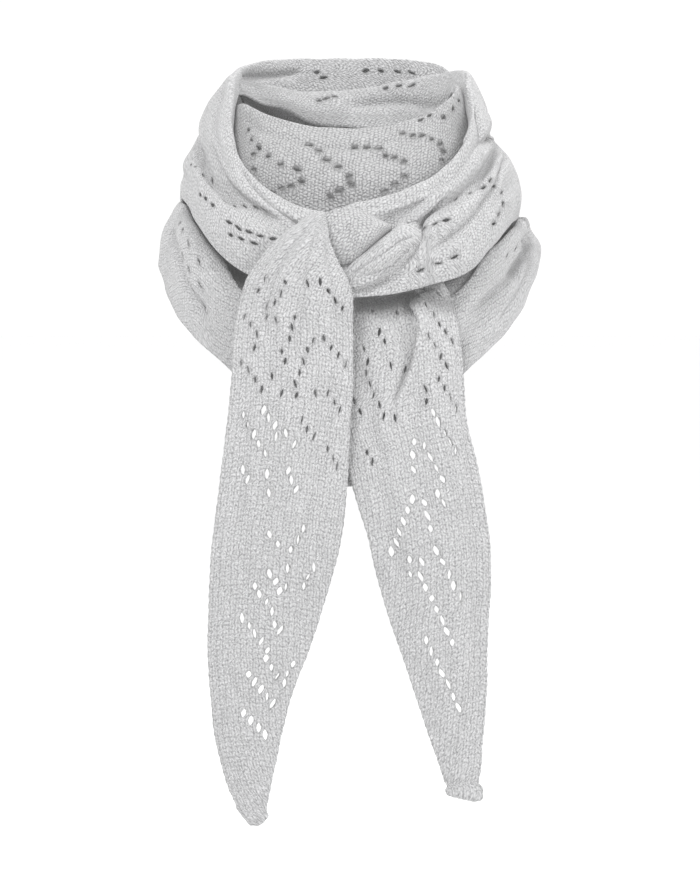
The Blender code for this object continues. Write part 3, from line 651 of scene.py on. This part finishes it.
def creased(place, share, creases):
    """The same stretch with its creases pressed in and its small waves raised, along its normals."""
    lines = [traced(place, share, crease.points) for crease in creases]

    def pressed(along, across):
        spots, normals = facing(place, along, across)
        lift = WAVE_HEIGHT * np.sin(spots @ LONG_WAVE) * np.sin(spots @ CROSS_WAVE + 1)
        for crease, line in zip(creases, lines):
            reach = 3.2 * crease.reach * MM
            low, high = line.min(axis=0) - reach, line.max(axis=0) + reach
            near = np.flatnonzero(((spots > low) & (spots < high)).all(axis=1))
            if not len(near):
                continue
            starts, steps = line[:-1], np.diff(line, axis=0)
            to = spots[near][:, None] - starts[None]
            part = np.clip((to * steps).sum(axis=2) / (steps**2).sum(axis=1), 0, 1)
            off = to - part[:, :, None] * steps
            distance = np.linalg.norm(off, axis=2)
            nearest = distance.argmin(axis=1)
            rows = np.arange(len(near))
            turn = np.cross(steps[nearest], off[rows, nearest])
            side = np.sign((turn * normals[near]).sum(axis=1))
            gone = (nearest + part[rows, nearest]) / len(steps)
            ends = np.clip(np.minimum(gone, 1 - gone) * 6, 0, 1)
            height = profile(crease.kind, side * distance[rows, nearest] / MM, crease.reach)
            lift[near] += crease.depth * height * np.sin(0.5 * math.pi * ends)
        return spots + normals * lift[:, None] * MM

    return pressed


def ring_form(sections, folds, creases):
    return creased(ring_stretch(sections, folds), ring_share(sections), creases)


def hanging_form(sections, pleats, creases):
    return creased(hanging_stretch(sections, pleats), hanging_share(sections), creases)


def knot_form(sections, creases):
    return creased(knot_stretch(sections), knot_share(sections), creases)


def hang_spots(sections, runs):
    """Each eyelet of a hanging stretch as (share along, share across, size)."""
    share = hanging_share(sections)
    spots = []
    for run in runs:
        for step in range(run.count):
            across = run.across + run.step_across * step
            up = run.up + run.step_up * step
            clear = up < CLEAR_BELOW or (up < OUTER_CLEAR_BELOW and abs(across) > OUTER_FROM)
            spots.append((*share(across, up), WIDE_EYELET if clear else NARROW_EYELET))
    return spots


def ring_spots(sections, runs):
    """Each eyelet of a stretch round the neck as (share along, share across, size)."""
    first, last = sections[0].angle, sections[-1].angle
    spots = []
    for run in runs:
        for step in range(run.count):
            angle = run.angle + run.step_angle * step
            across = run.across + run.step_across * step
            spots.append(((angle - first) / (last - first), across, RING_EYELET))
    return spots


def measure(place, cells, origin):
    """Metres along and across the cloth at each grid point, counted from the origin shares."""
    along, across = np.meshgrid(
        np.linspace(0, 1, cells[0] + 1), np.linspace(0, 1, cells[1] + 1), indexing="ij"
    )
    spots = place(along.ravel(), across.ravel()).reshape(cells[0] + 1, cells[1] + 1, 3)
    lengths = np.zeros(along.shape)
    widths = np.zeros(along.shape)
    lengths[1:] = np.cumsum(np.linalg.norm(np.diff(spots, axis=0), axis=2), axis=0)
    widths[:, 1:] = np.cumsum(np.linalg.norm(np.diff(spots, axis=1), axis=2), axis=1)
    lengths -= lengths[round(origin[0] * cells[0])]
    widths -= widths[:, [round(origin[1] * cells[1])]]
    return lengths, widths


def open_eyelets(bm, cells, spots, lengths, widths):
    """Takes out the four cells round each spot and draws the stitches beside them to its shape."""
    painted_shades = bm.verts.layers.float.new("painted_shade")
    index = {}
    for vertex in bm.verts:
        index[tuple(round((c + 0.5) * n) for c, n in zip(vertex.co, cells))] = vertex
    gone = []
    taken = set()
    hand = random.Random(4)
    for spot in spots:
        half_length = EYELET_HALF_LENGTH * hand.uniform(0.75, 1.2) * (0.6 + 0.4 * spot[2])
        half_width = EYELET_HALF_WIDTH * hand.uniform(0.6, 1.2) * spot[2]
        lean = hand.uniform(-0.3, 0.3)
        row, column = (round(s * n) for s, n in zip(spot[:2], cells))
        clear = 4 <= row <= cells[0] - 4 and 4 <= column <= cells[1] - 4
        near = {(row + i, column + j) for i in (-2, -1, 0, 1, 2) for j in (-1, 0, 1)}
        if not clear or near & taken:
            continue
        taken |= {(row + i, column + j) for i in (-1, 0, 1) for j in (-1, 0, 1)}
        cell_length = (lengths[row + 1, column] - lengths[row - 1, column]) / 2
        cell_width = (widths[row, column + 1] - widths[row, column - 1]) / 2
        gone.append(index[(row, column)])
        for i in range(-3, 4):
            for j in range(-3, 4):
                ring = max(abs(i), abs(j))
                if not ring:
                    continue
                u, v = i / ring, j / ring
                shape = math.hypot(u, v) ** -1.4
                along = u * (half_length * shape - cell_length)
                across = v * (half_width * shape - cell_width) + lean * u * half_length * shape
                pull = EYELET_PULL[ring - 1]
                vertex = index[(row + i, column + j)]
                vertex.co.x += pull * along / cell_length / cells[0]
                vertex.co.y += pull * across / cell_width / cells[1]
                # Painted shade on the stitches round the eyelet.
                vertex[painted_shades] = max(vertex[painted_shades], EYELET_PAINTED_SHADE[ring - 1])
    bmesh.ops.delete(bm, geom=gone, context="VERTS")


def read_values(items, name, size, kind=float):
    values = np.empty(size, kind)
    items.foreach_get(name, values)
    return values


def cloth(name, place, spacing, origin, materials, spots=(), purl=None, shade=None, looped=0):
    """One stretch of cloth: a flat grid with its eyelets, laid in place, with a wall."""
    coarse = measure(place, (60, 30), origin)
    cells = [
        max(8, round(float(np.ptp(size, axis=axis).max()) / spacing))
        for size, axis in zip(coarse, (0, 1))
    ]
    lengths, widths = measure(place, cells, origin)
    bm = bmesh.new()
    bmesh.ops.create_grid(bm, x_segments=cells[0], y_segments=cells[1], size=0.5)
    bmesh.ops.reverse_faces(bm, faces=bm.faces)
    rows = bm.verts.layers.int.new("row")
    columns = bm.verts.layers.int.new("column")
    for vertex in bm.verts:
        vertex[rows], vertex[columns] = (round((c + 0.5) * n) for c, n in zip(vertex.co, cells))
    open_eyelets(bm, cells, spots, lengths, widths)
    mesh = bpy.data.meshes.new(name)
    bm.to_mesh(mesh)
    bm.free()
    count = len(mesh.vertices)
    flat = read_values(mesh.vertices, "co", count * 3).reshape(-1, 3)[:, :2] + 0.5
    row = read_values(mesh.attributes["row"].data, "value", count, int)
    column = read_values(mesh.attributes["column"].data, "value", count, int)
    loops = looped * np.sin(math.pi * lengths[row, column] / COURSE) / np.ptp(widths, axis=1)[row]
    flat[:, 1] += loops * (column == cells[1]) - loops * (column == 0)
    mesh.vertices.foreach_set("co", place(flat[:, 0], flat[:, 1]).ravel())
    corners = read_values(mesh.loops, "vertex_index", len(mesh.loops), int)
    stitches = np.stack([widths[row, column], lengths[row, column]], axis=1)[corners]
    mesh.uv_layers.new(name="stitches").data.foreach_set("uv", stitches.ravel())
    if purl is not None:
        values = purl(row / cells[0], column / cells[1]).astype(np.float32)
        mesh.attributes.new("purl", "FLOAT", "POINT").data.foreach_set("value", values)
    # Painted shade from the stretch's shade function, kept with the painted shade round the eyelets.
    if shade is not None:
        painted_shades = read_values(mesh.attributes["painted_shade"].data, "value", count, np.float32)
        painted_extra_shade = shade(row / cells[0], column / cells[1]).astype(np.float32)
        mesh.attributes["painted_shade"].data.foreach_set("value", np.maximum(painted_shades, painted_extra_shade))
    mesh.attributes.remove(mesh.attributes["row"])
    mesh.attributes.remove(mesh.attributes["column"])
    mesh.shade_smooth()
    for material in materials:
        mesh.materials.append(material)
    piece = bpy.data.objects.new(name, mesh)
    bpy.context.scene.collection.objects.link(piece)
    wall = piece.modifiers.new("wall", "SOLIDIFY")
    wall.thickness = WALL
    wall.offset = 0
    wall.material_offset = 1
    wall.material_offset_rim = 0
    return piece


def input_value(tree, socket, value):
    if isinstance(value, bpy.types.NodeSocket):
        tree.links.new(value, socket)
    else:
        socket.default_value = value


def maths(tree, operation, *values):
    node = tree.nodes.new("ShaderNodeMath")
    node.operation = operation
    for socket, value in zip(node.inputs, values):
        input_value(tree, socket, value)
    return node.outputs[0]


def round_top(tree, value):
    """1 in the middle of each unit, 0 at its ends: 1 - (2 fract(value) - 1) squared."""
    swing = maths(tree, "MULTIPLY_ADD", maths(tree, "FRACT", value), 2.0, -1.0)
    return maths(tree, "SUBTRACT", 1.0, maths(tree, "POWER", maths(tree, "ABSOLUTE", swing), 2.0))


def stitch_group():
    """Heights and tones of the knit face and of its purl side, from metres across and along."""
    tree = bpy.data.node_groups.new("knit stitches", "ShaderNodeTree")
    tree.interface.new_socket("Metres", in_out="INPUT", socket_type="NodeSocketVector")
    tree.interface.new_socket("Purl", in_out="INPUT", socket_type="NodeSocketFloat")
    tree.interface.new_socket("Height", in_out="OUTPUT", socket_type="NodeSocketFloat")
    tree.interface.new_socket("Tone", in_out="OUTPUT", socket_type="NodeSocketFloat")
    inputs = tree.nodes.new("NodeGroupInput")
    outputs = tree.nodes.new("NodeGroupOutput")

    wander = tree.nodes.new("ShaderNodeTexNoise")
    wander.inputs["Scale"].default_value = 160
    wander.inputs["Detail"].default_value = 1
    tree.links.new(inputs.outputs["Metres"], wander.inputs["Vector"])
    strayed = tree.nodes.new("ShaderNodeVectorMath")
    strayed.operation = "MULTIPLY_ADD"
    tree.links.new(wander.outputs["Color"], strayed.inputs[0])
    strayed.inputs[1].default_value = STITCH_STRAY
    tree.links.new(inputs.outputs["Metres"], strayed.inputs[2])
    split = tree.nodes.new("ShaderNodeSeparateXYZ")
    tree.links.new(strayed.outputs[0], split.inputs[0])
    wale = maths(tree, "DIVIDE", split.outputs["X"], WALE)
    course = maths(tree, "DIVIDE", split.outputs["Y"], COURSE)

    from_middle = maths(
        tree, "ABSOLUTE", maths(tree, "MULTIPLY_ADD", maths(tree, "FRACT", wale), 2.0, -1.0)
    )
    slanted = maths(tree, "MULTIPLY_ADD", from_middle, 0.6, course)
    leg_length = maths(tree, "POWER", round_top(tree, slanted), 0.8)
    leg_width = maths(tree, "POWER", round_top(tree, from_middle), 0.6)
    legs = maths(tree, "MULTIPLY", leg_length, leg_width)
    knit = maths(tree, "MULTIPLY_ADD", maths(tree, "POWER", from_middle, 4.0), -0.35, legs)

    ridge = maths(tree, "MULTIPLY", course, 1.25)
    odd_row = maths(tree, "MODULO", maths(tree, "FLOOR", ridge), 2.0)
    shifted = maths(tree, "MULTIPLY_ADD", odd_row, 0.5, maths(tree, "MULTIPLY", wale, 1.75))
    bead = maths(tree, "MULTIPLY", round_top(tree, shifted), round_top(tree, ridge))

    chosen = tree.nodes.new("ShaderNodeMix")
    input_value(tree, chosen.inputs["Factor"], inputs.outputs["Purl"])
    input_value(tree, chosen.inputs["A"], knit)
    input_value(tree, chosen.inputs["B"], maths(tree, "MULTIPLY_ADD", bead, 1.7, -0.3))

    fuzz = tree.nodes.new("ShaderNodeTexNoise")
    fuzz.inputs["Scale"].default_value = 700
    fuzz.inputs["Detail"].default_value = 2
    tree.links.new(inputs.outputs["Metres"], fuzz.inputs["Vector"])
    raised = maths(tree, "MULTIPLY_ADD", chosen.outputs["Result"], 0.45, -0.45)
    height = maths(tree, "MULTIPLY_ADD", fuzz.outputs["Fac"], 1.8, raised)
    tree.links.new(height, outputs.inputs["Height"])

    cell = tree.nodes.new("ShaderNodeCombineXYZ")
    tree.links.new(maths(tree, "FLOOR", maths(tree, "MULTIPLY", wale, 2.0)), cell.inputs["X"])
    tree.links.new(maths(tree, "FLOOR", course), cell.inputs["Y"])
    speckle = tree.nodes.new("ShaderNodeTexWhiteNoise")
    tree.links.new(cell.outputs[0], speckle.inputs["Vector"])
    stretched = tree.nodes.new("ShaderNodeVectorMath")
    stretched.operation = "MULTIPLY"
    tree.links.new(inputs.outputs["Metres"], stretched.inputs[0])
    stretched.inputs[1].default_value = (140, 14, 1)
    streak = tree.nodes.new("ShaderNodeTexNoise")
    streak.inputs["Scale"].default_value = 1
    streak.inputs["Detail"].default_value = 2
    tree.links.new(stretched.outputs[0], streak.inputs["Vector"])
    tone = maths(tree, "MULTIPLY_ADD", streak.outputs["Fac"], 1.1, speckle.outputs["Value"])
    tree.links.new(maths(tree, "MULTIPLY", tone, 0.5), outputs.inputs["Tone"])
    return tree


def knit_material(name, stitches, purl):
    """Matt grey wool: painted shade between loops, lighter where the yarn comes up, a faint painted
    glow.
    """
    material = bpy.data.materials.new(name)
    material.use_nodes = True
    tree = material.node_tree
    shader = tree.nodes["Principled BSDF"]
    shader.inputs["Roughness"].default_value = 0.85
    shader.inputs["Sheen Weight"].default_value = 0.3
    shader.inputs["Sheen Roughness"].default_value = 0.5
    # Painted light: a faint white glow from the wool, which lifts its shadows like a fill light.
    shader.inputs["Emission Color"].default_value = (1, 1, 1, 1)
    shader.inputs["Emission Strength"].default_value = 0.05
    uv = tree.nodes.new("ShaderNodeUVMap")
    uv.uv_map = "stitches"
    knit = tree.nodes.new("ShaderNodeGroup")
    knit.node_tree = stitches
    tree.links.new(uv.outputs[0], knit.inputs["Metres"])
    side = tree.nodes.new("ShaderNodeAttribute")
    side.attribute_name = "purl"
    value = side.outputs["Fac"]
    if purl:
        value = maths(tree, "SUBTRACT", 1.0, value)
    tree.links.new(value, knit.inputs["Purl"])
    # Painted shade, read from an attribute, darkens the wool round the eyelets, in the hollows and
    # under the flaps, more on the purl side.
    painted_shade = tree.nodes.new("ShaderNodeAttribute")
    painted_shade.attribute_name = "painted_shade"

    # Painted shade: the ramp darkens the wool in the gaps between the loops, by the stitch height.
    tones = tree.nodes.new("ShaderNodeValToRGB")
    tones.color_ramp.elements[0].position = 0.1
    tones.color_ramp.elements[0].color = PAINTED_GAP_SHADE
    tones.color_ramp.elements[1].position = 1
    tones.color_ramp.elements[1].color = LIGHT_WOOL
    tree.links.new(knit.outputs["Height"], tones.inputs["Fac"])
    heather_and_painted_shade = maths(tree, "MULTIPLY_ADD", knit.outputs["Tone"], 0.3, 0.84)
    painted_darkening = maths(tree, "MULTIPLY", painted_shade.outputs["Fac"], maths(tree, "MULTIPLY_ADD", value, -0.3, -0.25))
    # Painted shade: the purl side is a little darker, for the shadows among its bumps.
    purl_painted_shade = maths(tree, "MULTIPLY_ADD", maths(tree, "POWER", value, 5.0), -0.2, 1.0)
    shaded = maths(tree, "MULTIPLY", maths(tree, "ADD", painted_darkening, 1.0), purl_painted_shade)
    heather_and_painted_shade = maths(tree, "MULTIPLY", heather_and_painted_shade, shaded)
    tinted = tree.nodes.new("ShaderNodeVectorMath")
    tinted.operation = "SCALE"
    tree.links.new(tones.outputs["Color"], tinted.inputs[0])
    tree.links.new(heather_and_painted_shade, tinted.inputs["Scale"])
    tree.links.new(tinted.outputs[0], shader.inputs["Base Color"])

    relief = tree.nodes.new("ShaderNodeBump")
    relief.inputs["Strength"].default_value = 0.85
    relief.inputs["Distance"].default_value = STITCH_RELIEF
    tree.links.new(knit.outputs["Height"], relief.inputs["Height"])
    tree.links.new(relief.outputs["Normal"], shader.inputs["Normal"])
    return material


def throat_shows_purl(along, across):
    """The cowl turns its purl side out, down to where the cape folds over."""
    return np.clip((0.52 - across) / 0.04, 0, 1)


def knot_shows_purl(along, across):
    """The knot turns its purl side out too, pulled a little flatter."""
    return np.full(len(along), 0.9)


def pulled_stitches(along, across):
    """On the arms the stitches are pulled askew, so that some of their backs come up."""
    return np.full(len(along), 0.7)


def shade_under_flap(along, across):
    """Painted shade on the right arm at the nape: along its turned-in edge and under it, in the
    hollow.
    """
    edge = 1.1 * window(along, 0.68, 0.92) * np.clip(1 - across / 0.09, 0, 1)
    fold = 1.1 * np.clip(6 * across - 1.3, 0, 1)
    depth = 1.3 * np.clip(8 * across - 3.2, 0, 1)
    return edge + window(along, 0.62, 1.05) * (fold + depth)


def shade_in_hollow(along, across):
    """Painted shade on the cape, darkest in the hollows under the arms, up to the edge that folds
    over.
    """
    at = 7 * across
    across_hollow = np.clip((at - 3.2) / 0.4, 0, 1) * np.clip((4.65 - at) / 0.3, 0, 1)
    return 2.2 * across_hollow * np.minimum(1, 2 * window(along, 0.28, 0.97))


def shade_low_down(along, across):
    """The tails get a little painted shade low down, where the light falls off."""
    return 0.25 * np.clip((0.8 - along) / 0.3, 0, 1)


def shade_under_hem(along, across):
    """Painted shade on the right tail, darkest where it comes out from under the arm's hem."""
    hem = 1.8 * bump((along - 0.945 + 0.03 * across) / 0.014)
    return hem + shade_low_down(along, across)


def stretches(sides):
    """Every stretch of cloth, by the name of the solid that it stands for."""
    return {
        "centre": cloth(
            "centre_cloth",
            ring_form(CENTRE_SECTIONS, CENTRE_FOLDS, CENTRE_CREASES),
            2.1 * MM,
            (0.5, 0),
            sides,
            ring_spots(CENTRE_SECTIONS, CENTRE_RUNS),
            throat_shows_purl,
            shade_in_hollow,
        ),
        "left_arm": cloth(
            "left_arm_cloth",
            ring_form(LEFT_ARM_SECTIONS, LEFT_ARM_FOLDS, LEFT_ARM_CREASES),
            1.6 * MM,
            (1, 0),
            sides,
            ring_spots(LEFT_ARM_SECTIONS, LEFT_ARM_RUNS),
            pulled_stitches,
        ),
        "right_arm": cloth(
            "right_arm_cloth",
            ring_form(RIGHT_ARM_SECTIONS, RIGHT_ARM_FOLDS, RIGHT_ARM_CREASES),
            1.6 * MM,
            (0, 0),
            sides,
            ring_spots(RIGHT_ARM_SECTIONS, RIGHT_ARM_RUNS),
            pulled_stitches,
            shade_under_flap,
        ),
        "knot_turn": cloth(
            "knot_turn_cloth",
            knot_form(KNOT_TURN_SECTIONS, ()),
            1 * MM,
            (0, 0),
            sides,
            purl=knot_shows_purl,
        ),
        "knot_band": cloth(
            "knot_band_cloth",
            knot_form(KNOT_BAND_SECTIONS, KNOT_BAND_CREASES),
            1 * MM,
            (0, 0),
            sides,
        ),
        "left_tail": cloth(
            "left_tail_cloth",
            hanging_form(LEFT_TAIL_SECTIONS, LEFT_TAIL_PLEATS, LEFT_TAIL_CREASES),
            1.43 * MM,
            (0, 0),
            sides,
            hang_spots(LEFT_TAIL_SECTIONS, LEFT_TAIL_RUNS),
            shade=shade_low_down,
            looped=EDGE_BUMP,
        ),
        "right_tail": cloth(
            "right_tail_cloth",
            hanging_form(RIGHT_TAIL_SECTIONS, RIGHT_TAIL_PLEATS, RIGHT_TAIL_CREASES),
            1.43 * MM,
            (0, 1),
            sides,
            hang_spots(RIGHT_TAIL_SECTIONS, RIGHT_TAIL_RUNS),
            shade=shade_under_hem,
            looped=EDGE_BUMP,
        ),
    }


# Each stretch spread flat: its width, length and area, how it is held, and what it rests on.

Cut = namedtuple("Cut", "width length area held rests_on")
CUTS = {
    "centre": Cut(0.30, 0.66, 0.115, "draped", ["left_arm", "right_arm"]),
    "left_arm": Cut(0.16, 0.52, 0.074, "draped", ["centre", "right_arm"]),
    "right_arm": Cut(0.14, 0.56, 0.055, "draped", ["centre"]),
    "knot_turn": Cut(0.045, 0.055, 0.0017, "folded", ["right_arm"]),
    "knot_band": Cut(0.035, 0.065, 0.0018, "folded", ["right_arm"]),
    "left_tail": Cut(0.11, 0.46, 0.036, "hung", ["knot_turn"]),
    "right_tail": Cut(0.11, 0.40, 0.032, "hung", ["right_arm"]),
}


def dress():
    stitches = stitch_group()
    face = knit_material("grey knit face", stitches, purl=False)
    reverse = knit_material("grey knit reverse", stitches, purl=True)
    pieces = stretches((face, reverse))
    for node, piece in pieces.items():
        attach(piece, "root")
        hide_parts(node)
        cut = CUTS[node]
        rests_on = [pieces[name].name for name in cut.rests_on]


def floor():
    bm = bmesh.new()
    bmesh.ops.create_grid(bm, x_segments=1, y_segments=1, size=FLOOR_HALF_SIDE)
    mesh = bpy.data.meshes.new("floor")
    bm.to_mesh(mesh)
    bm.free()
    pale = bpy.data.materials.new("pale floor")
    pale.use_nodes = True
    shader = pale.node_tree.nodes["Principled BSDF"]
    shader.inputs["Base Color"].default_value = (0.95, 0.95, 0.95, 1)
    shader.inputs["Roughness"].default_value = 1
    mesh.materials.append(pale)
    ground = bpy.data.objects.new("floor", mesh)
    ground.location.z = FLOOR_HEIGHT
    bpy.context.scene.collection.objects.link(ground)


def softbox(name, place, size, power):
    light = bpy.data.lights.new(name, "AREA")
    light.energy = power
    light.size = size
    lamp = bpy.data.objects.new(name, light)
    lamp.location = place
    lamp.rotation_euler = (LOOK_AT - Vector(place)).to_track_quat("-Z", "Y").to_euler()
    bpy.context.scene.collection.objects.link(lamp)


def studio():
    floor()
    world = bpy.data.worlds.new("white studio")
    bpy.context.scene.world = world
    world.use_nodes = True
    background = world.node_tree.nodes["Background"]
    background.inputs["Color"].default_value = (1, 1, 1, 1)
    background.inputs["Strength"].default_value = 1.05
    softbox("key softbox", (-0.9, -1.8, 2.1), 1.0, 62)
    softbox("fill softbox", (1.7, -1.8, 0.9), 1.2, 34)
    softbox("back softbox", (0.9, 2.0, 1.6), 1.2, 20)
    bpy.context.scene.view_settings.view_transform = "Standard"


def camera():
    lens = bpy.data.cameras.new("photo view")
    lens.sensor_width = SENSOR_WIDTH
    lens.lens = SENSOR_WIDTH * CAMERA_DISTANCE / VIEW_HEIGHT
    lens.clip_end = 50
    view = bpy.data.objects.new("photo view", lens)
    tilt = math.radians(CAMERA_ELEVATION)
    view.location = LOOK_AT + CAMERA_DISTANCE * Vector((0, -math.cos(tilt), math.sin(tilt)))
    view.rotation_euler = (LOOK_AT - view.location).to_track_quat("-Z", "Y").to_euler()
    bpy.context.scene.collection.objects.link(view)
    bpy.context.scene.camera = view


camera()
dress()
studio()
